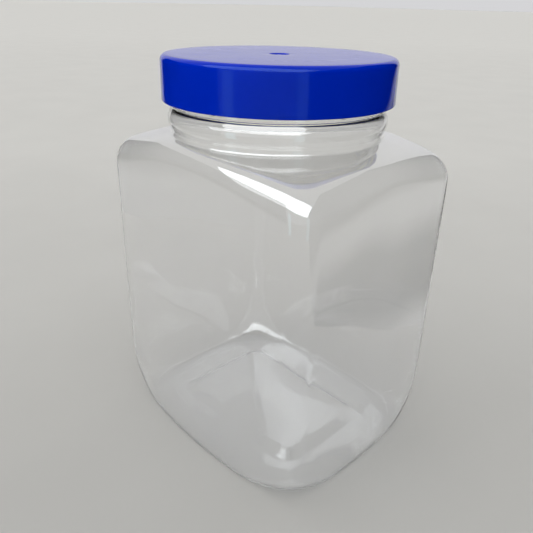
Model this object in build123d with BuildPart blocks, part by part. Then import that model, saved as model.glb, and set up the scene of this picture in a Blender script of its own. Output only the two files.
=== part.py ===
from build123d import *
import math
import os

os.makedirs("parts", exist_ok=True)

# A blow-moulded canister with a screw lid, in millimetres.
# The origin is the centre of the foot, +Z is up, and X runs along the longer side of the plan.

# Overall
total_height = 223.0
lid_height = 22.4
lid_radius = 61.5

# Body plan: a rectangle whose four sides bow outward, with rounded corners
body_length = 153.6
body_width = 118.8
end_bow = 2.1
side_bow = 6.6
corner_radius = 12.0
wall = 0.8

# Heel: the plan shrinks and its corners grow rounder down to the foot
heel_height = 41.0
heel_inset = 3.7
foot_corner_radius = 52.0
heel_steps = 5

# Push-up: the recess in the middle of the base
recess_length = 104.0
recess_width = 72.0
recess_corner = 10.0
recess_height = 4.5
recess_draft = 4.0

# Shoulder and neck
shoulder_slope = 0.27
shoulder_top = 183.8
shoulder_rounding = 10.0
neck_radius = 57.0
neck_wall = 2.0
neck_fillet = 1.5
roll_radius = 6.0
roll_reach = 1.2
roll_below_lid = 9.1
roll_wall = 0.9
roll_fillet = 1.0
bead_below_lid = 3.4
bead_rise = 0.6
bead_root = 2.0
bead_crest = 0.8
rim_rounding = 0.6

# Screw thread of the neck, single start, right-handed
pitch = 5.08
neck_thread_turns = 1.5
neck_thread_height = 1.9
neck_thread_root = 2.4
neck_thread_crest = 1.2
neck_thread_below_rim = 4.0
ridge_overlap = 0.4

# Lid
lid_top_wall = 1.8
skirt_wall = 1.8
lid_edge_radius = 3.0
skirt_edge_radius = 0.4
dish_radius = 5.4
dish_depth = 0.7
gate_radius = 1.3
gate_height = 0.4
lid_thread_turns = 1.25
lid_thread_height = 1.8
lid_thread_root = 2.2
lid_thread_crest = 1.2
thread_flank_gap = 1.8
liner_bead_rise = 1.0
liner_bead_root = 1.2
liner_bead_crest = 0.5
liner_bead_drop = 1.0

# Liner
liner_thickness = 1.2
liner_radius = 59.0

lid_bottom = total_height - lid_height
lid_underside = total_height - lid_top_wall
dish_floor = total_height - dish_depth
rim_height = lid_underside - liner_thickness
bore_radius = neck_radius - neck_wall
neck_root = shoulder_top - 2 * neck_wall
roll_centre = neck_radius + roll_reach - roll_radius
roll_middle = lid_bottom - roll_below_lid
roll_foot = roll_middle - math.sqrt(roll_radius**2 - (roll_radius - roll_reach) ** 2)
lid_inner_radius = lid_radius - skirt_wall
neck_thread_end = rim_height - neck_thread_below_rim
neck_thread_start = neck_thread_end - neck_thread_turns * pitch


def bowed_face(height, length, width, corner):
    """Horizontal face with four outward-bowed sides and rounded corners."""
    x = length / 2
    y = width / 2
    with BuildSketch(Plane.XY.offset(height)) as face:
        with BuildLine():
            ThreePointArc((x, -y), (x + end_bow, 0), (x, y))
            ThreePointArc((x, y), (0, y + side_bow), (-x, y))
            ThreePointArc((-x, y), (-x - end_bow, 0), (-x, -y))
            ThreePointArc((-x, -y), (0, -y - side_bow), (x, -y))
        make_face()
        fillet(face.vertices(), radius=corner)
    return face.sketch


def vessel(inset, opening_radius):
    """Solid form of the body below the neck, moved inward by inset on every side."""
    top = shoulder_top - inset + shoulder_slope * (neck_radius - opening_radius)
    reach = body_length
    with BuildPart() as form:
        for step in range(heel_steps + 1):
            angle = step / heel_steps * math.pi / 2
            grown = math.sin(angle)
            shrink = 2 * (inset + heel_inset * (1 - grown))
            corner = foot_corner_radius + (corner_radius - foot_corner_radius) * grown - inset
            height = inset + (heel_height - inset) * (1 - math.cos(angle))
            add(bowed_face(height, body_length - shrink, body_width - shrink, corner))
        loft()
        add(bowed_face(heel_height, body_length - 2 * inset, body_width - 2 * inset, corner_radius - inset))
        extrude(amount=total_height - heel_height)
        with BuildSketch(Plane.XZ):
            with BuildLine():
                Polyline(
                    (0, 0),
                    (reach, 0),
                    (reach, top - shoulder_slope * (reach - opening_radius)),
                    (opening_radius, top),
                    (0, top),
                    close=True,
                )
            make_face()
        revolve(axis=Axis.Z, mode=Mode.INTERSECT)
        cone = form.faces().filter_by(GeomType.CONE).sort_by(SortBy.AREA)[-1]
        crease = cone.edges().filter_by(lambda edge: edge.center().Z < top - 1)
        fillet(crease, radius=shoulder_rounding - inset)
    return form.part


def push_up(growth):
    """Tapered block that raises the middle of the base, grown outward by growth."""
    with BuildPart() as block:
        for height, taper in ((0, 0), (recess_height + growth, recess_draft)):
            with BuildSketch(Plane.XY.offset(height)):
                RectangleRounded(
                    recess_length + 2 * (growth - taper),
                    recess_width + 2 * (growth - taper),
                    recess_corner + growth - taper / 2,
                )
        loft()
    return block.part


def ridge(path, origin, forward, rise, root_width, crest_width):
    """Trapezoid swept along a path round the axis, with its root sunk into the wall."""
    sink = -math.copysign(ridge_overlap, rise)
    with BuildPart() as form:
        with BuildSketch(Plane(origin=origin, x_dir=(1, 0, 0), z_dir=forward)):
            Polygon(
                (sink, -root_width / 2),
                (rise, -crest_width / 2),
                (rise, crest_width / 2),
                (sink, root_width / 2),
                align=None,
            )
        sweep(path=path, is_frenet=True)
    return form.part


def thread(root_radius, rise, root_width, crest_width, start, turns):
    """Helical ridge on a cylinder, starting at the given height on the +X side."""
    helix = Helix(pitch=pitch, height=turns * pitch, radius=root_radius, center=(0, 0, start))
    return ridge(helix, helix @ 0, helix % 0, rise, root_width, crest_width)


def bead(root_radius, rise, root_width, crest_width, height):
    """Closed ring of the same section on a cylinder."""
    circle = CenterArc((0, 0, height), root_radius, 0, 360)
    return ridge(circle, circle @ 0, circle % 0, rise, root_width, crest_width)


def circles_at(part, radius, height):
    """Circular edges of a part that have this radius and lie at this height."""
    return part.edges().filter_by(GeomType.CIRCLE).filter_by(
        lambda edge: math.isclose(edge.radius, radius, abs_tol=0.01)
        and math.isclose(edge.arc_center.Z, height, abs_tol=0.01)
    )


cavity = vessel(wall, bore_radius) - push_up(wall)

neck_thread = thread(
    neck_radius,
    neck_thread_height,
    neck_thread_root,
    neck_thread_crest,
    neck_thread_start,
    neck_thread_turns,
)

lid_thread = thread(
    lid_inner_radius,
    -lid_thread_height,
    lid_thread_root,
    lid_thread_crest,
    neck_thread_start - thread_flank_gap,
    lid_thread_turns,
)

neck_bead = bead(neck_radius, bead_rise, bead_root, bead_crest, lid_bottom - bead_below_lid)
liner_bead_middle = rim_height - liner_bead_drop
liner_bead = bead(lid_inner_radius, -liner_bead_rise, liner_bead_root, liner_bead_crest, liner_bead_middle)

# The bottle: one blown piece, with the rolled neck, its bead and thread, and the raised base
with BuildPart() as jar_body:
    add(vessel(0, neck_radius))
    with BuildSketch(Plane.XY.offset(neck_root)):
        Circle(neck_radius)
    extrude(amount=rim_height - neck_root)
    with Locations((0, 0, roll_middle)):
        Torus(major_radius=roll_centre, minor_radius=roll_radius)
    fillet(circles_at(jar_body, neck_radius, shoulder_top), radius=neck_fillet)
    fillet(circles_at(jar_body, neck_radius, roll_foot), radius=roll_fillet)
    add(neck_bead)
    add(neck_thread)
    add(push_up(0), mode=Mode.SUBTRACT)
    add(cavity, mode=Mode.SUBTRACT)
    with BuildSketch(Plane.XY.offset(neck_root)):
        Circle(bore_radius)
    extrude(amount=rim_height - neck_root, mode=Mode.SUBTRACT)
    with Locations((0, 0, roll_middle)):
        Torus(major_radius=roll_centre, minor_radius=roll_radius - roll_wall, mode=Mode.SUBTRACT)
    fillet(jar_body.faces().sort_by(Axis.Z)[-1].edges(), radius=rim_rounding)

# The screw cap: a disc and a plain skirt, with its thread and a bead that keeps the liner in
with BuildPart() as lid:
    with BuildSketch(Plane.XZ):
        with BuildLine():
            Polyline(
                (0, dish_floor + gate_height),
                (gate_radius, dish_floor + gate_height),
                (gate_radius, dish_floor),
                (dish_radius, dish_floor),
                (dish_radius, total_height),
                (lid_radius, total_height),
                (lid_radius, lid_bottom),
                (lid_inner_radius, lid_bottom),
                (lid_inner_radius, lid_underside),
                (0, lid_underside),
                close=True,
            )
        make_face()
    revolve(axis=Axis.Z)
    fillet(circles_at(lid, lid_radius, total_height), radius=lid_edge_radius)
    fillet(circles_at(lid, lid_radius, lid_bottom), radius=skirt_edge_radius)
    fillet(circles_at(lid, lid_inner_radius, lid_bottom), radius=skirt_edge_radius)
    add(liner_bead)
    add(lid_thread)

# The sealing liner: a loose foam disc that the lid presses on the rim
with BuildPart() as liner:
    with BuildSketch(Plane.XY.offset(rim_height)):
        Circle(liner_radius)
    extrude(amount=liner_thickness)

jar_body.part.label = "jar_body"
export_step(jar_body.part, "parts/jar_body.step")
lid.part.label = "lid"
export_step(lid.part, "parts/lid.step")
liner.part.label = "liner"
export_step(liner.part, "parts/liner.step")
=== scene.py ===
import math

import bpy
import numpy as np
from mathutils import Matrix, Vector


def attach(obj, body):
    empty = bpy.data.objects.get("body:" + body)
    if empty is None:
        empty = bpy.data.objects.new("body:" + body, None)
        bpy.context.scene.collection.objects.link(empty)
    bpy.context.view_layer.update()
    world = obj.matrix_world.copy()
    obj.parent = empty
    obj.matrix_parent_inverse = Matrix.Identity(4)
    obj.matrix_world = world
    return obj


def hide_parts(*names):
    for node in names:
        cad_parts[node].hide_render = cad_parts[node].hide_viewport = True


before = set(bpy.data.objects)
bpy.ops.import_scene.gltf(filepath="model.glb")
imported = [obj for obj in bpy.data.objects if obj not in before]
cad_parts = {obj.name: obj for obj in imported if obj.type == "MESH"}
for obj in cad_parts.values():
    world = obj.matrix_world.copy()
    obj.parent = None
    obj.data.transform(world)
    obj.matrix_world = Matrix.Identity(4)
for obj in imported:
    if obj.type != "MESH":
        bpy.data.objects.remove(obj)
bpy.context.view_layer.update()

# The shapes are in millimetres until mesh_from_rows turns them into metres.
# Materials, floor, lights and camera are in metres.
MM = 0.001

# Body plan, wall and heel, as in the CAD
BODY_LENGTH = 153.6
BODY_WIDTH = 118.8
END_BOW = 2.1
SIDE_BOW = 6.6
CORNER = 12.0
WALL = 0.8
HEEL_HEIGHT = 41.0
HEEL_INSET = 3.7
FOOT_CORNER = 52.0
# Points along half a side and along a corner of a plan, and rings up the heel
SIDE_POINTS = 24
CORNER_POINTS = 16
HEEL_ROWS = 20

# Recess in the base: length, width and height as in the CAD, with a domed floor and softer edges
RECESS_LENGTH = 104.0
RECESS_WIDTH = 72.0
RECESS_HEIGHT = 4.5
RECESS_BOW = 0.05
RECESS_CORNER = 12.0
RECESS_DRAFT = 6.5
RECESS_DOME = 0.9
RECESS_TOP_ROUNDING = 1.6
RECESS_FOOT_ROUNDING = 2.6
RECESS_TOP_STRIP = 1.2
RECESS_FOOT_STRIP = 4.0
# Rise of the foot ring beside the recess, gone and full at these shares of the way out to the heel
RING_RISE = 0.5
RING_RISE_GONE = 0.85
RING_RISE_FULL = 0.1
# Shares of the way at which the rings of points lie, over the recess's floor and over the foot ring
FLOOR_SHARES = (0, 0.04, 0.12, 0.25, 0.4, 0.55, 0.7, 0.85, 0.95)
FOOT_SHARES = (0.12, 0.24, 0.36, 0.48, 0.6, 0.72, 0.8, 0.93)

# Shoulder: slope and height as in the CAD, with a rounding that grows toward the plan's corners
SLOPE = 0.27
SHOULDER_TOP = 183.8
SHOULDER_ROUNDING = 9.5
CORNER_ROUNDING = 17.0
# Angle round the axis over which it grows, in radians
CORNER_SPREAD = 0.42
# Distance along the plan that a shoulder rounding of 1 mm takes
ROUNDING_SHARE = math.tan((math.pi / 2 - math.atan(SLOPE)) / 2) * math.cos(math.atan(SLOPE))
# Rings of points up the wall, round each rounding and over the cone between the roundings
WALL_ROWS = 18
ARC_ROWS = 12
CONE_ROWS = 4

# An undulation is a sum of plane waves: how many, the weight of X, Y and Z in their random directions,
# and the range of their lengths, as multiples of the undulation's size
WAVES = 7
WAVE_WEIGHTS = (1.0, 1.0, 0.7)
WAVE_LENGTHS = (0.7, 1.6)
# Depth of the wall's undulation at the corners, and what the flat of each side adds
SWELL_ALL_ROUND = 0.25
SWELL_ON_FLATS = 1.35
SWELL_SEED = 3
SWELL_SIZE = 80
# A side counts as flat where its normal comes near X or Y: the cosines where that begins and is full
FLAT_FROM = 0.9
FLAT_FULL = 0.99
# Heights over which the undulation comes in, and how far below the shoulder's top it fades again
SWELL_FROM = 12
SWELL_FULL = 60
SWELL_FADE = 26
# The inner face also wanders by this share of the wall, which makes it thicker and thinner
THICKNESS_SHARE = 0.05
THICKNESS_SEED = 8
THICKNESS_SIZE = 24

# Neck: radius, walls and rim as in the CAD; fillet, roll and bead fitted to the photograph
NECK_RADIUS = 57.0
NECK_WALL = 2.0
NECK_BORE = NECK_RADIUS - NECK_WALL
NECK_FILLET = 1.3
ROLL_RADIUS = 7.0
ROLL_REACH = 1.8
ROLL_MIDDLE = 191.4
ROLL_WALL = 0.9
ROLL_BLEND = 2.0
RIM = 220.0
RIM_ROUNDING = 0.6
RIM_ROWS = 6
# The wall thins from neck to roll within this distance of the roll's middle
THINNING_REACH = 2
# Ridges are given by their height and their width at root and crest
BEAD_MIDDLE = 198.3
BEAD = (0.3, 0.9, 0.3)
# The threads have the CAD's pitch, height and place, with softer flanks
PITCH = 5.08
THREAD = (1.9, 2.6, 1.0)
THREAD_START = 208.38
THREAD_TURNS = 1.5
# Part of a turn over which a thread fades out at each end
THREAD_FADE = 0.09
# Rings of the neck's outside: where they start above the shoulder's top, and their spacing
OUTSIDE_START = 1.8
OUTSIDE_STEP = 0.3
# Rings of the bore: wide apart from this far below the rim, then close, to this far above the shoulder's top
BORE_START = 2
BORE_WIDE_ROWS = 10
BORE_WIDE_END = 200
BORE_CLOSE_START = 199.6
BORE_CLOSE_STEP = 0.4
BORE_END = 2.1

# Lid: outer size and inner radius as in the CAD
LID_TOP = 223.0
LID_BOTTOM = 200.6
LID_RADIUS = 61.5
LID_INNER = 59.7
LID_THREAD = (1.8, 2.4, 1.0)
LID_THREAD_DROP = 1.8
LID_THREAD_TURNS = 1.25
# Bead inside the skirt that keeps the liner in
LINER_BEAD_MIDDLE = 219.0
LINER_BEAD = (1.0, 1.2, 0.5)
# Gate dish with the nub in it: radii, and depths below the lid's top
NUB_RADIUS = 1.1
NUB_FOOT_RADIUS = 1.5
NUB_DROP = 0.35
DISH_FLOOR_RADIUS = 4.7
DISH_RADIUS = 5.4
DISH_DROP = 0.75
# The top is highest at this radius and falls a hair to both sides
CROWN_RADIUS = 40
CROWN_FALL = 0.02
# How much narrower the skirt is at its top
SKIRT_DRAFT = 0.25
# Chamfer at the skirt's inner edge: width and height
CHAMFER_WIDTH = 0.2
CHAMFER_HEIGHT = 1.0
# Rounding of each corner of the lid's section, from the nub outward and down to the chamfer
CROWN_ROUNDINGS = (0.15, 0.15, 0.4, 0.35, 1.0, 3.1, 0.45, 0.3)
CROWN_STEPS = 9
# Corner between skirt and ceiling: its rounding, and where the skirt's face ends below it
CEILING_ROUNDING = 0.25
CEILING_CORNER = 0.3
# Thread and bead stay this far below the ceiling, and on points this near the inner radius
RIDGE_END = 0.05
SAME_RADIUS = 0.01

# Liner, dented a little by the rim, with hairline gaps that keep its faces off the rim and the lid
LINER_RADIUS = 59.0
LINER_TOP = 221.2
RIM_GAP = 0.06
DENT_GAP = 0.16
LID_GAP = 0.02
# How far the dent's flat middle and its slopes reach past the rim
DENT_MARGIN = 0.2
DENT_INNER_REACH = 1.2
DENT_OUTER_REACH = 1.0
LINER_ROUNDINGS = (0.4, 0.3, 0.3, 0.25, 0.25, 0.2)

# Points round the lid and the liner, and the greatest steps between points of their sections
LID_COLUMNS = 240
CROWN_STEP = 6.0
RIDGE_STEP = 0.25
DISC_STEP = 8.0


# ---------------------------------------------------------------- shapes

def outline(length, width, end_bow, side_bow, corner):
    """Points and outward normals of a plan with bowed sides and rounded corners.

    They run anticlockwise from +X. One quarter is built from three arcs, then mirrored.
    """
    a = length / 2
    b = width / 2
    end_r = (b * b + end_bow * end_bow) / (2 * end_bow)
    side_r = (a * a + side_bow * side_bow) / (2 * side_bow)
    end_c = np.array([a + end_bow - end_r, 0.0])
    side_c = np.array([0.0, b + side_bow - side_r])
    # The corner's centre lies where both side arcs, moved inward by its radius, cross
    reach_end = end_r - corner
    reach_side = side_r - corner
    gap = np.linalg.norm(side_c - end_c)
    along = (reach_end**2 - reach_side**2 + gap**2) / (2 * gap)
    across = math.sqrt(reach_end**2 - along**2)
    unit = (side_c - end_c) / gap
    turn = np.array([-unit[1], unit[0]])
    middle = end_c + along * unit + across * turn
    other = end_c + along * unit - across * turn
    middle = middle if middle[0] > other[0] else other
    first = math.atan2(middle[1], middle[0] - end_c[0])
    last = math.atan2(middle[1] - side_c[1], middle[0])
    arcs = (
        (end_c, end_r, 0.0, first, SIDE_POINTS),
        (middle, corner, first, last, CORNER_POINTS),
        (side_c, side_r, last, math.pi / 2, SIDE_POINTS),
    )
    points = []
    normals = []
    for centre, radius, start, end, count in arcs:
        angle = np.linspace(start, end, count, endpoint=False)
        normal = np.stack([np.cos(angle), np.sin(angle)], -1)
        points.append(centre + radius * normal)
        normals.append(normal)
    quarter = np.concatenate(points)
    quarter_n = np.concatenate(normals)
    flip = np.array([-1.0, 1.0])
    top = np.array([[0.0, b + side_bow]])
    top_n = np.array([[0.0, 1.0]])
    half = np.concatenate([quarter, top, quarter[1:][::-1] * flip])
    half_n = np.concatenate([quarter_n, top_n, quarter_n[1:][::-1] * flip])
    return np.concatenate([half, -half]), np.concatenate([half_n, -half_n])


def rounded(path, radii, steps=8):
    """2D path with each inner point replaced by an arc of its own radius and this many points."""
    out = [np.asarray(path[0], float)]
    for before, here, after, radius in zip(path, path[1:], path[2:], radii):
        here = np.asarray(here, float)
        a = np.asarray(before, float) - here
        b = np.asarray(after, float) - here
        a /= np.linalg.norm(a)
        b /= np.linalg.norm(b)
        half = math.acos(np.clip(a @ b, -1, 1)) / 2
        middle = here + (a + b) / np.linalg.norm(a + b) * radius / math.sin(half)
        start = here + a * radius / math.tan(half) - middle
        end = here + b * radius / math.tan(half) - middle
        first = math.atan2(start[1], start[0])
        sweep = (math.atan2(end[1], end[0]) - first + math.pi) % (2 * math.pi) - math.pi
        for angle in first + sweep * np.linspace(0, 1, steps):
            out.append(middle + radius * np.array([math.cos(angle), math.sin(angle)]))
    out.append(np.asarray(path[-1], float))
    return np.array(out)


def between(a, b, count):
    """Evenly spaced points from a to b, without a and b themselves."""
    return a + (b - a) * np.linspace(0, 1, count + 2)[1:-1, None]


def divided(path, step):
    """Path with points added so that none are further apart than step."""
    out = [path[0]]
    for a, b in zip(path, path[1:]):
        n = max(1, math.ceil(np.linalg.norm(b - a) / step))
        out.extend(a + (b - a) * (i / n) for i in range(1, n + 1))
    return np.array(out)


def ring(plan, z):
    """Plan points lifted to a height, which may be one number or one for each point."""
    return np.column_stack([plan, np.broadcast_to(z, len(plan))])


def smooth(low, high, x):
    """0 below low, 1 above high and an S-shaped change between; low may also be the larger."""
    t = np.clip((x - low) / (high - low), 0, 1)
    return t * t * (3 - 2 * t)


def larger(a, b, blend):
    """The larger of two values, with the change from one to the other rounded off."""
    near = max(blend - abs(a - b), 0) / blend
    return max(a, b) + near * near * blend / 4


def bump(distance, rise, root, crest):
    """Height of a ridge at this distance from its middle: flat crest, smooth flanks."""
    t = np.clip((root / 2 - np.abs(distance)) / (root / 2 - crest / 2), 0, 1)
    return rise * t * t * (3 - 2 * t)


def thread_height(angle, z, start, turns, shape):
    """Height of a right-handed thread over a cylinder, fading out at both ends."""
    rise, root, crest = shape
    total = np.zeros(np.broadcast(angle, z).shape)
    for turn in range(math.ceil(turns)):
        done = turn + np.mod(angle, 2 * math.pi) / (2 * math.pi)
        ends = np.clip(np.minimum(done, turns - done) / THREAD_FADE, 0, 1)
        total = np.maximum(total, bump(z - start - PITCH * done, rise, root, crest) * np.sqrt(ends))
    return total


def ripple(points, seed, size):
    """Slow undulation between -1 and 1: the mean of a few plane waves about this long."""
    rng = np.random.default_rng(seed)
    total = np.zeros(points.shape[:-1])
    for _ in range(WAVES):
        direction = rng.normal(size=3) * WAVE_WEIGHTS
        direction /= np.linalg.norm(direction)
        wave = 2 * math.pi / (size * rng.uniform(*WAVE_LENGTHS))
        total += np.sin(points @ direction * wave + rng.uniform(0, 2 * math.pi))
    return total / WAVES


def mesh_from_rows(name, rows):
    """Closed mesh through rings of points; the first and the last ring shrink to one point each."""
    rows = [np.asarray(row, float) for row in rows]
    count = len(rows[0])
    vertices = [rows[0].mean(axis=0)]
    for row in rows[1:-1]:
        vertices.extend(row)
    last = len(vertices)
    vertices.append(rows[-1].mean(axis=0))
    last_ring = last - count
    pairs = [(j, (j + 1) % count) for j in range(count)]
    faces = []
    for low in range(1, last_ring, count):
        high = low + count
        faces.extend((low + j, low + k, high + k, high + j) for j, k in pairs)
    faces.extend((last_ring + j, last_ring + k, last) for j, k in pairs)
    faces.extend((1 + k, 1 + j, 0) for j, k in pairs)
    mesh = bpy.data.meshes.new(name)
    mesh.from_pydata((np.array(vertices) * MM).tolist(), [], faces)
    mesh.polygons.foreach_set("use_smooth", [True] * len(mesh.polygons))
    mesh.update()
    piece = bpy.data.objects.new(name, mesh)
    bpy.context.scene.collection.objects.link(piece)
    return piece


# ---------------------------------------------------------------- the jar

def base_rows(inset, foot):
    """Rings of the base, from the middle of the recess out to the foot outline, raised by inset."""
    edge, edge_n = outline(RECESS_LENGTH, RECESS_WIDTH, RECESS_BOW, RECESS_BOW, RECESS_CORNER)
    # Section of the recess's edge as (distance outward from its outline, height)
    drop = math.hypot(RECESS_DRAFT, RECESS_HEIGHT)
    lean = inset * drop / RECESS_HEIGHT
    floor_z = RECESS_HEIGHT + inset
    ring_z = inset + RING_RISE
    knee = -RECESS_DRAFT * (floor_z / RECESS_HEIGHT) + lean
    toe = -RECESS_DRAFT * (inset / RECESS_HEIGHT) + lean
    path = rounded(
        [
            (knee - RECESS_TOP_STRIP, floor_z),
            (knee, floor_z),
            (toe, ring_z),
            (toe + RECESS_FOOT_STRIP, ring_z),
        ],
        [RECESS_TOP_ROUNDING + inset, RECESS_FOOT_ROUNDING - inset],
    )
    # The floor's rings change from an oval in the middle to the recess's own outline
    start = edge + path[0][0] * edge_n
    reach_x, reach_y = start.max(axis=0)
    oval = start / np.hypot(start[:, 0] / reach_x, start[:, 1] / reach_y)[:, None]
    rows = []
    for share in FLOOR_SHARES:
        plan = share * (oval + (start - oval) * share**2)
        dome = (1 - (plan[:, 0] / reach_x) ** 2) * (1 - (plan[:, 1] / reach_y) ** 2)
        rows.append(ring(plan, floor_z + RECESS_DOME * dome))
    for distance, z in path:
        rows.append(ring(edge + distance * edge_n, z))
    inner = rows[-1][:, :2]
    for share in FOOT_SHARES:
        rise = RING_RISE * smooth(RING_RISE_GONE, RING_RISE_FULL, share)
        rows.append(ring(inner + (foot - inner) * share, inset + rise))
    return rows


def shoulder_rows(inset, body, unit, neck_radius, neck_top):
    """Rings of the wall, the shoulder and the neck's foot, along the meridian of each plan point."""
    top = SHOULDER_TOP - inset + SLOPE * (NECK_RADIUS - neck_radius)
    diagonal = math.atan2(BODY_WIDTH, BODY_LENGTH)
    off_diagonal = np.arctan2(np.abs(unit[:, 1]), np.abs(unit[:, 0])) - diagonal
    cornered = np.exp(-((off_diagonal / CORNER_SPREAD) ** 2))
    wished = SHOULDER_ROUNDING + (CORNER_ROUNDING - SHOULDER_ROUNDING) * cornered
    profiles = []
    for distance, wish in zip(np.linalg.norm(body, axis=1), wished):
        crest = top - SLOPE * (distance - neck_radius)
        room = (distance + inset - NECK_RADIUS) / ROUNDING_SHARE - NECK_FILLET
        path = rounded(
            [(distance, HEEL_HEIGHT), (distance, crest), (neck_radius, top), (neck_radius, neck_top)],
            [min(room, wish) - inset, NECK_FILLET + inset],
            steps=ARC_ROWS,
        )
        upper_arc = path[1:ARC_ROWS + 1]
        neck_arc = path[ARC_ROWS + 1:-1]
        wall = between(path[0], upper_arc[0], WALL_ROWS)
        cone = between(upper_arc[-1], neck_arc[0], CONE_ROWS)
        profiles.append(np.concatenate([wall, upper_arc, cone, neck_arc]))
    profiles = np.array(profiles)
    return [ring(unit * profiles[:, k, :1], profiles[:, k, 1]) for k in range(profiles.shape[1])]


def body_shell(inset, neck_radius, neck_top):
    """Rings of one face of the jar's wall, from the middle of the base to the neck.

    The outer face has inset 0 and the inner one the wall's thickness. The second result is the direction
    of each plan point from the axis.
    """
    body, body_n = outline(BODY_LENGTH, BODY_WIDTH, END_BOW, SIDE_BOW, CORNER)
    foot, foot_n = outline(
        BODY_LENGTH - 2 * HEEL_INSET, BODY_WIDTH - 2 * HEEL_INSET, END_BOW, SIDE_BOW, FOOT_CORNER
    )
    body = body - inset * body_n
    foot = foot - inset * foot_n
    unit = body / np.linalg.norm(body, axis=1)[:, None]
    rows = base_rows(inset, foot)
    for angle in np.linspace(-math.pi / 2, 0, HEEL_ROWS):
        z = inset + (HEEL_HEIGHT - inset) * (1 + math.sin(angle))
        rows.append(ring(foot + (body - foot) * math.cos(angle), z))
    rows = np.array(rows + shoulder_rows(inset, body, unit, neck_radius, neck_top))
    # A blown wall is never quite flat
    height = rows[..., 2]
    weight = smooth(SWELL_FROM, SWELL_FULL, height) * smooth(SHOULDER_TOP, SHOULDER_TOP - SWELL_FADE, height)
    flat = smooth(FLAT_FROM, FLAT_FULL, np.abs(body_n).max(axis=1))
    swell = (SWELL_ALL_ROUND + SWELL_ON_FLATS * flat) * ripple(rows, SWELL_SEED, SWELL_SIZE)
    thickness = THICKNESS_SHARE * inset * ripple(rows, THICKNESS_SEED, THICKNESS_SIZE)
    rows[..., :2] += (weight * (swell + thickness))[..., None] * body_n
    return rows, unit


def neck_rows(unit, heights, outside):
    """Rings of the neck: a cylinder with a blown roll below its bead, on the outside or in the bore."""
    angle = np.arctan2(unit[:, 1], unit[:, 0])
    inset = 0 if outside else ROLL_WALL
    rows = []
    for z in heights:
        cylinder = NECK_RADIUS
        if not outside:
            above = smooth(ROLL_MIDDLE - THINNING_REACH, ROLL_MIDDLE + THINNING_REACH, z)
            cylinder -= ROLL_WALL + (NECK_WALL - ROLL_WALL) * above
        chord = (ROLL_RADIUS - inset) ** 2 - (z - ROLL_MIDDLE) ** 2
        roll = NECK_RADIUS + ROLL_REACH - ROLL_RADIUS + math.sqrt(max(chord, 0))
        radius = np.full(len(unit), larger(cylinder, roll, ROLL_BLEND))
        if outside:
            radius = radius + bump(z - BEAD_MIDDLE, *BEAD)
            radius = radius + thread_height(angle, z, THREAD_START, THREAD_TURNS, THREAD)
        rows.append(ring(unit * radius[:, None], z))
    return rows


outer_face, unit = body_shell(0.0, NECK_RADIUS, ROLL_MIDDLE)
inner_face, _ = body_shell(WALL, NECK_RADIUS - ROLL_WALL, ROLL_MIDDLE)
outside_heights = np.arange(SHOULDER_TOP + OUTSIDE_START, RIM - RIM_ROUNDING, OUTSIDE_STEP)
bore_heights = np.concatenate([
    np.linspace(RIM - BORE_START, BORE_WIDE_END, BORE_WIDE_ROWS),
    np.arange(BORE_CLOSE_START, SHOULDER_TOP + BORE_END, -BORE_CLOSE_STEP),
])
rim_section = [
    (NECK_RADIUS - RIM_ROUNDING * (1 - math.cos(a)), RIM - RIM_ROUNDING * (1 - math.sin(a)))
    for a in np.linspace(0, math.pi / 2, RIM_ROWS)
] + [
    (NECK_BORE + RIM_ROUNDING * (1 - math.cos(a)), RIM - RIM_ROUNDING * (1 - math.sin(a)))
    for a in np.linspace(math.pi / 2, 0, RIM_ROWS)
]
jar_rows = (
    list(outer_face)
    + neck_rows(unit, outside_heights, True)
    + [ring(unit * radius, z) for radius, z in rim_section]
    + neck_rows(unit, bore_heights, False)
    + list(inner_face[::-1])
)
jar = mesh_from_rows("jar_shell", jar_rows)


# ---------------------------------------------------------------- the lid and its liner

def spin(name, profile, shape=None):
    """Closed surface of revolution through (radius, height) points that start and end on the axis.

    The shape, if there is one, gives what to add to the radius at each angle.
    """
    angle = np.linspace(0, 2 * math.pi, LID_COLUMNS, endpoint=False)
    direction = np.column_stack([np.cos(angle), np.sin(angle)])
    rows = []
    for r, z in profile:
        radius = np.full(LID_COLUMNS, float(r))
        if shape is not None:
            radius = radius + shape(angle, r, z)
        rows.append(ring(direction * radius[:, None], z))
    return mesh_from_rows(name, rows)


def lid_inner_shape(angle, r, z):
    """Thread and liner bead on the skirt's inner face; both stand inward, so they count as negative."""
    on_face = abs(r - LID_INNER) <= SAME_RADIUS
    if not on_face or not LID_BOTTOM + CHAMFER_HEIGHT < z < LINER_TOP - RIDGE_END:
        return 0.0
    ridge = thread_height(angle, z, THREAD_START - LID_THREAD_DROP, LID_THREAD_TURNS, LID_THREAD)
    return -np.maximum(ridge, bump(z - LINER_BEAD_MIDDLE, *LINER_BEAD))


crown = rounded(
    [
        (0, LID_TOP - NUB_DROP),
        (NUB_RADIUS, LID_TOP - NUB_DROP),
        (NUB_FOOT_RADIUS, LID_TOP - DISH_DROP),
        (DISH_FLOOR_RADIUS, LID_TOP - DISH_DROP),
        (DISH_RADIUS, LID_TOP - CROWN_FALL),
        (CROWN_RADIUS, LID_TOP),
        (LID_RADIUS - SKIRT_DRAFT, LID_TOP - CROWN_FALL),
        (LID_RADIUS, LID_BOTTOM),
        (LID_INNER + CHAMFER_WIDTH, LID_BOTTOM),
        (LID_INNER, LID_BOTTOM + CHAMFER_HEIGHT),
    ],
    CROWN_ROUNDINGS,
    steps=CROWN_STEPS,
)
hollow = np.array([(LID_INNER, LID_BOTTOM + CHAMFER_HEIGHT), (LID_INNER, LINER_TOP - CEILING_CORNER)])
ceiling = rounded(
    [(LID_INNER, LINER_TOP - CEILING_CORNER), (LID_INNER, LINER_TOP), (0, LINER_TOP)],
    [CEILING_ROUNDING],
    steps=5,
)
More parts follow.
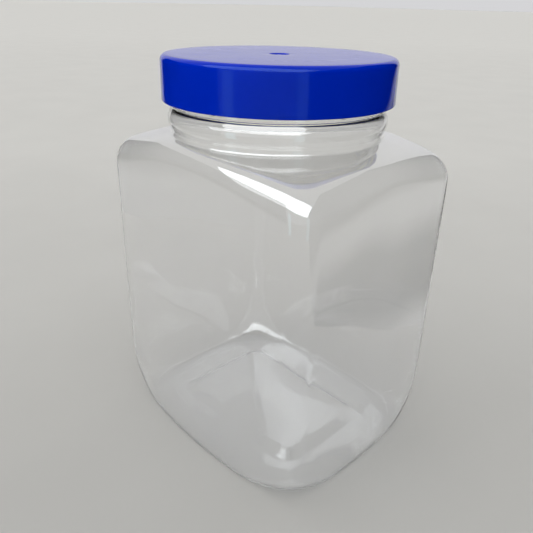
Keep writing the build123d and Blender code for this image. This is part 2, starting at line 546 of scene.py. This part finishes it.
lid_section = np.concatenate([
    divided(crown, CROWN_STEP),
    divided(hollow, RIDGE_STEP)[1:],
    divided(ceiling, DISC_STEP)[1:],
])
lid = spin("lid_shell", lid_section[::-1], shape=lid_inner_shape)

liner_section = rounded(
    [
        (0, RIM + RIM_GAP),
        (NECK_BORE - DENT_INNER_REACH, RIM + RIM_GAP),
        (NECK_BORE - DENT_MARGIN, RIM + DENT_GAP),
        (NECK_RADIUS + DENT_MARGIN, RIM + DENT_GAP),
        (NECK_RADIUS + DENT_OUTER_REACH, RIM + RIM_GAP),
        (LINER_RADIUS, RIM + RIM_GAP),
        (LINER_RADIUS, LINER_TOP - LID_GAP),
        (0, LINER_TOP - LID_GAP),
    ],
    LINER_ROUNDINGS,
    steps=5,
)
liner = spin("liner_disc", divided(liner_section, DISC_STEP))

for piece, node, body, slot_name in (
    (jar, "jar_body", "jar", "clear_pet"),
    (lid, "lid", "lid", "blue_lid"),
    (liner, "liner", "liner", "foam_liner"),
):
    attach(piece, body)
    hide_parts(node)


# ---------------------------------------------------------------- materials

class Nodes:
    """Shorthand for building one material's node tree."""

    def __init__(self, name):
        self.material = bpy.data.materials.new(name)
        self.material.use_nodes = True
        self.tree = self.material.node_tree
        self.shader = self.tree.nodes["Principled BSDF"]
        self.output = self.tree.nodes["Material Output"]

    def add(self, kind, **values):
        """New node of a kind, with some of its properties set."""
        node = self.tree.nodes.new(kind)
        for key, value in values.items():
            setattr(node, key, value)
        return node

    def link(self, source, target):
        """Link from an output socket to an input socket."""
        self.tree.links.new(source, target)

    def set(self, **values):
        """Fixed values for inputs of the shader, with underscores for the spaces in their names."""
        for key, value in values.items():
            self.shader.inputs[key.replace("_", " ")].default_value = value

    def drive(self, name, source):
        """Let a socket drive the shader's input of this name."""
        self.link(source, self.shader.inputs[name])

    def place(self):
        """The piece's own coordinates, in metres."""
        return self.add("ShaderNodeTexCoord").outputs["Object"]

    def noise(self, scale, detail, stretch=None):
        """Noise over the piece's own coordinates, scale in features per metre."""
        node = self.add("ShaderNodeTexNoise")
        node.inputs["Scale"].default_value = scale
        node.inputs["Detail"].default_value = detail
        source = self.place()
        if stretch is not None:
            mapping = self.add("ShaderNodeMapping")
            mapping.inputs["Scale"].default_value = stretch
            self.link(source, mapping.inputs["Vector"])
            source = mapping.outputs["Vector"]
        self.link(source, node.inputs["Vector"])
        return node.outputs["Fac"]

    def span(self, source, low, high, to_low, to_high):
        """Values from low to high, mapped to values from to_low to to_high."""
        node = self.add("ShaderNodeMapRange")
        node.inputs["From Min"].default_value = low
        node.inputs["From Max"].default_value = high
        node.inputs["To Min"].default_value = to_low
        node.inputs["To Max"].default_value = to_high
        self.link(source, node.inputs["Value"])
        return node.outputs["Result"]

    def ramp(self, source, stops):
        """Colour for a value, from stops of (value, colour)."""
        node = self.add("ShaderNodeValToRGB")
        elements = node.color_ramp.elements
        while len(elements) < len(stops):
            elements.new(0.5)
        for element, (position, colour) in zip(elements, stops):
            element.position = position
            element.color = (*colour, 1)
        self.link(source, node.inputs["Fac"])
        return node.outputs["Color"]

    def along(self, direction, stops, tint):
        """Tint made darker or paler along a direction, from stops of (distance in metres, shade)."""
        first = stops[0][0]
        last = stops[-1][0]
        distance = self.add("ShaderNodeVectorMath", operation="DOT_PRODUCT")
        distance.inputs[1].default_value = direction
        self.link(self.place(), distance.inputs[0])
        spread = self.span(distance.outputs["Value"], first, last, 0.0, 1.0)
        return self.ramp(
            spread, [((at - first) / (last - first), [c * shade for c in tint]) for at, shade in stops]
        )

    def bumps(self, *layers):
        """Chain of bump nodes on the shader, each from (height socket, strength, distance in metres)."""
        normal = None
        for height, strength, distance in layers:
            node = self.add("ShaderNodeBump")
            node.inputs["Strength"].default_value = strength
            node.inputs["Distance"].default_value = distance
            self.link(height, node.inputs["Height"])
            if normal is not None:
                self.link(normal, node.inputs["Normal"])
            normal = node.outputs["Normal"]
        self.drive("Normal", normal)


def clear_pet():
    """Clear, slightly hazy plastic, with a coat that mirrors the studio's cards.

    Rays that have gone through the wall don't see those cards, so the plastic alone would show few of them.
    """
    m = Nodes("clear_pet")
    m.set(Base_Color=(0.996, 0.998, 1.0, 1), IOR=1.575, Transmission_Weight=1.0)
    m.set(Coat_Weight=1.0, Coat_IOR=1.5, Coat_Roughness=0.03)
    haze = m.noise(scale=9.0, detail=4.0, stretch=(1, 1, 0.4))
    m.drive("Roughness", m.span(haze, low=0.35, high=0.75, to_low=0.012, to_high=0.05))
    waves = m.noise(scale=45.0, detail=2.0, stretch=(1, 1, 0.35))
    grain = m.noise(scale=700.0, detail=2.0)
    m.bumps((waves, 0.25, 0.0004), (grain, 0.05, 0.00002))
    # Shadow rays pass straight through, darker where they graze, so lamps reach the floor behind the wall
    clear = m.add("ShaderNodeBsdfTransparent")
    edge = m.add("ShaderNodeLayerWeight")
    edge.inputs["Blend"].default_value = 0.5
    shade = m.ramp(
        edge.outputs["Facing"],
        ((0.0, (0.99, 0.992, 0.995)), (0.6, (0.96, 0.965, 0.97)), (1.0, (0.45, 0.46, 0.47))),
    )
    m.link(shade, clear.inputs["Color"])
    mix = m.add("ShaderNodeMixShader")
    path = m.add("ShaderNodeLightPath")
    m.link(path.outputs["Is Shadow Ray"], mix.inputs["Fac"])
    m.link(m.shader.outputs["BSDF"], mix.inputs[1])
    m.link(clear.outputs["BSDF"], mix.inputs[2])
    m.link(mix.outputs["Shader"], m.output.inputs["Surface"])
    return m.material


def blue_lid():
    """Deep blue moulded plastic with a soft gloss."""
    m = Nodes("blue_lid")
    cloud = m.noise(scale=30.0, detail=4.0)
    m.drive("Base Color", m.ramp(cloud, ((0.3, (0.0, 0.020, 0.50)), (0.7, (0.0, 0.023, 0.56)))))
    m.set(IOR=1.49, Specular_IOR_Level=0.25, Specular_Tint=(0.5, 0.82, 1.0, 1))
    wear = m.noise(scale=60.0, detail=5.0)
    m.drive("Roughness", m.span(wear, low=0.3, high=0.7, to_low=0.07, to_high=0.12))
    swells = m.noise(scale=120.0, detail=2.0)
    grain = m.noise(scale=1800.0, detail=3.0)
    m.bumps((swells, 0.10, 0.0002), (grain, 0.06, 0.00002))
    return m.material


def foam():
    """Off-white foam with fine cells."""
    m = Nodes("foam_liner")
    cells = m.add("ShaderNodeTexVoronoi")
    cells.inputs["Scale"].default_value = 2600.0
    m.link(m.place(), cells.inputs["Vector"])
    cloud = m.noise(scale=80.0, detail=4.0)
    m.drive("Base Color", m.ramp(cloud, ((0.3, (0.80, 0.80, 0.78)), (0.7, (0.88, 0.88, 0.86)))))
    m.set(IOR=1.45)
    m.drive("Roughness", m.span(cells.outputs["Distance"], low=0.0, high=0.6, to_low=0.72, to_high=0.55))
    swells = m.noise(scale=200.0, detail=2.0)
    m.bumps((swells, 0.2, 0.0003), (cells.outputs["Distance"], 0.35, 0.0002))
    return m.material


for piece, material in ((jar, clear_pet()), (lid, blue_lid()), (liner, foam())):
    piece.data.materials.append(material)


# ---------------------------------------------------------------- floor, light and camera

# How far the camera's line of sight is turned from +Y, anticlockwise seen from above
VIEW_AZIMUTH = math.radians(45.63)
TO_RIGHT = Vector((math.cos(VIEW_AZIMUTH), math.sin(VIEW_AZIMUTH), 0))
TO_BACK = Vector((-math.sin(VIEW_AZIMUTH), math.cos(VIEW_AZIMUTH), 0))
UP = Vector((0, 0, 1))

# The jar's foot stands a hair above the floor, so that the two surfaces don't coincide
FLOOR_REACH = 40.0
FLOOR_DROP = 0.0003
# The floor is painted a touch paler away from the camera, a painted fall-off of the light: distances in
# metres and their greys
FLOOR_GREYS = ((-0.1, 0.52), (0.15, 0.575), (0.7, 0.655), (4.0, 0.70))
FLOOR_TINT = (1, 0.99, 0.95)

# Shades of the two upright cards beside the jar: distances in metres and how brightly they glow there
DARK = 0.0
PALE = 0.50
CARD_HEIGHT = 0.45
# Slope of the right card's bands, which rise away from the camera
CARD_LEAN = 0.41
RIGHT_SHADES = ((0.0, PALE), (0.03, DARK), (0.075, DARK), (0.1, PALE), (0.118, PALE), (0.14, DARK))
LEFT_SHADES = ((0.05, PALE), (0.11, DARK))
# Two upright pale strips that the lid's side reflects; the core is the part of full glow
STRIP_DISTANCE = 0.5
STRIP_HALF_WIDTH = 0.055
STRIP_HEIGHT = 0.3
STRIP_CORE = 0.6
STRIP_EDGE_GLOW = 0.5
STRIP_TINT = (0.7, 0.93, 1.0)

CAMERA_AT = Vector((0.2176, -0.2187, 0.2471))
CAMERA_PITCH = math.radians(25.33)
CAMERA_ROLL = math.radians(1.31)
CAMERA_LENS = 37.74
SENSOR_WIDTH = 36.0
CLIP_START = 0.01

JAR_MIDDLE = Vector((0, 0, 0.12))
WINDOW_COLOUR = (0.94, 0.975, 1.0)
ROOM_COLOUR = (0.66, 0.66, 0.675, 1)
# A ray crosses many faces of the clear wall
CLEAR_BOUNCES = 32
GLOSSY_BOUNCES = 16


def aim(azimuth, elevation):
    """Unit vector from the jar toward an azimuth, counted from +X, and an elevation, in degrees."""
    a = math.radians(azimuth)
    e = math.radians(elevation)
    return Vector((math.cos(e) * math.cos(a), math.cos(e) * math.sin(a), math.sin(e)))


def stage_card(name, corners):
    """Flat piece of the studio, one face through four corners, and the nodes of its material."""
    mesh = bpy.data.meshes.new(name)
    mesh.from_pydata([tuple(corner) for corner in corners], [], [(0, 1, 2, 3)])
    piece = bpy.data.objects.new(name, mesh)
    bpy.context.scene.collection.objects.link(piece)
    m = Nodes(name)
    mesh.materials.append(m.material)
    return piece, m


def reflected_card(name, corners, along, stops, tint=(1, 1, 1)):
    """Card seen only in reflections, its glow changing softly with the distance along a direction."""
    piece, m = stage_card(name, corners)
    m.drive("Emission Color", m.along(along, stops, tint))
    m.set(Base_Color=(0, 0, 0, 1), Emission_Strength=1.0, Specular_IOR_Level=0.0)
    piece.visible_camera = False
    piece.visible_diffuse = False
    piece.visible_transmission = False
    piece.visible_shadow = False


def upright(right, near, far, height):
    """Corners of an upright card beside the jar, from near to far."""
    edges = ((near, 0), (far, 0), (far, height), (near, height))
    return [TO_RIGHT * right + TO_BACK * back + UP * z for back, z in edges]


def soft_sky(name, direction, spread, power):
    """Wide, even light from a part of the room, with no reflection of its own."""
    data = bpy.data.lights.new(name, "SUN")
    data.angle = math.radians(spread)
    data.energy = power
    data.cycles.use_multiple_importance_sampling = False
    lamp = bpy.data.objects.new(name, data)
    lamp.rotation_euler = direction.to_track_quat("Z", "Y").to_euler()
    lamp.visible_glossy = False
    lamp.visible_transmission = False
    bpy.context.scene.collection.objects.link(lamp)


def soft_box(name, direction, distance, width, height, power, colour):
    """Rectangular lamp that looks at the jar and shows in its gloss, but does not light plain surfaces."""
    data = bpy.data.lights.new(name, "AREA")
    data.shape = "RECTANGLE"
    data.size = width
    data.size_y = height
    data.energy = power
    data.color = colour
    lamp = bpy.data.objects.new(name, data)
    lamp.location = JAR_MIDDLE + direction * distance
    lamp.rotation_euler = direction.to_track_quat("Z", "Y").to_euler()
    lamp.visible_diffuse = False
    bpy.context.scene.collection.objects.link(lamp)


_, m = stage_card("floor", [
    (x * FLOOR_REACH, y * FLOOR_REACH, -FLOOR_DROP) for x, y in ((-1, -1), (1, -1), (1, 1), (-1, 1))
])
# Painted light fall-off: the floor's grey is painted paler away from the camera, then multiplied by the
# floor's own faint mottle
falloff_and_mottle = m.add("ShaderNodeMix", data_type="RGBA", blend_type="MULTIPLY")
falloff_and_mottle.inputs["Factor"].default_value = 1.0
m.link(m.along(TO_BACK, FLOOR_GREYS, FLOOR_TINT), falloff_and_mottle.inputs["A"])
cloud = m.noise(scale=9.0, detail=6.0)
m.link(m.ramp(cloud, ((0.3, (0.97, 0.97, 0.97)), (0.7, (1, 1, 1)))), falloff_and_mottle.inputs["B"])
m.drive("Base Color", falloff_and_mottle.outputs["Result"])
m.set(Roughness=0.9, Specular_IOR_Level=0.0)

# Both cards glow near the floor and are dark above, the right one with a paler band in the dark
right_corners = upright(right=0.21, near=-0.5, far=0.2, height=CARD_HEIGHT)
left_corners = upright(right=-0.42, near=-0.3, far=0.5, height=CARD_HEIGHT)
reflected_card("card_right", right_corners, UP - TO_BACK * CARD_LEAN, RIGHT_SHADES)
reflected_card("card_left", left_corners, UP, LEFT_SHADES)
for name, azimuth, glow in (("strip_left", -89, 1.5), ("strip_right", -24, 1.0)):
    centre = aim(azimuth, 0) * STRIP_DISTANCE
    half = Vector((-centre.y, centre.x, 0)) * (STRIP_HALF_WIDTH / STRIP_DISTANCE)
    rise = UP * STRIP_HEIGHT
    edge = half.length
    reflected_card(
        name,
        [centre - half, centre + half, centre + half + rise, centre - half + rise],
        half.normalized(),
        (
            (-edge, STRIP_EDGE_GLOW),
            (-edge * STRIP_CORE, glow),
            (edge * STRIP_CORE, glow),
            (edge, STRIP_EDGE_GLOW),
        ),
        STRIP_TINT,
    )

forward = TO_BACK * math.cos(CAMERA_PITCH) - UP * math.sin(CAMERA_PITCH)
upward = TO_RIGHT.cross(forward)
right = TO_RIGHT * math.cos(CAMERA_ROLL) + upward * math.sin(CAMERA_ROLL)
above = upward * math.cos(CAMERA_ROLL) - TO_RIGHT * math.sin(CAMERA_ROLL)
camera_data = bpy.data.cameras.new("camera")
camera_data.sensor_width = SENSOR_WIDTH
camera_data.lens = CAMERA_LENS
camera_data.clip_start = CLIP_START
camera = bpy.data.objects.new("camera", camera_data)
turn = Matrix((right, above, -forward)).transposed().to_4x4()
camera.matrix_world = Matrix.Translation(CAMERA_AT) @ turn
bpy.context.scene.collection.objects.link(camera)
bpy.context.scene.camera = camera

# The world shows in reflections and behind the floor, and does not light plain surfaces
world = bpy.data.worlds.new("room")
world.use_nodes = True
background = world.node_tree.nodes["Background"]
background.inputs["Color"].default_value = ROOM_COLOUR
background.inputs["Strength"].default_value = 1.0
world.cycles_visibility.diffuse = False
bpy.context.scene.world = world

cycles = bpy.context.scene.cycles
cycles.max_bounces = CLEAR_BOUNCES
cycles.transmission_bounces = CLEAR_BOUNCES
cycles.glossy_bounces = GLOSSY_BOUNCES
cycles.transparent_max_bounces = CLEAR_BOUNCES
cycles.caustics_reflective = False
cycles.caustics_refractive = False

soft_box("window", aim(-70, 51), distance=1.3, width=2.4, height=1.0, power=27.0, colour=WINDOW_COLOUR)
soft_sky("sky", aim(160, 70), spread=120, power=1.75)
soft_sky("room", aim(-75, 35), spread=120, power=2.1)
bpy.context.scene.view_settings.view_transform = "Standard"
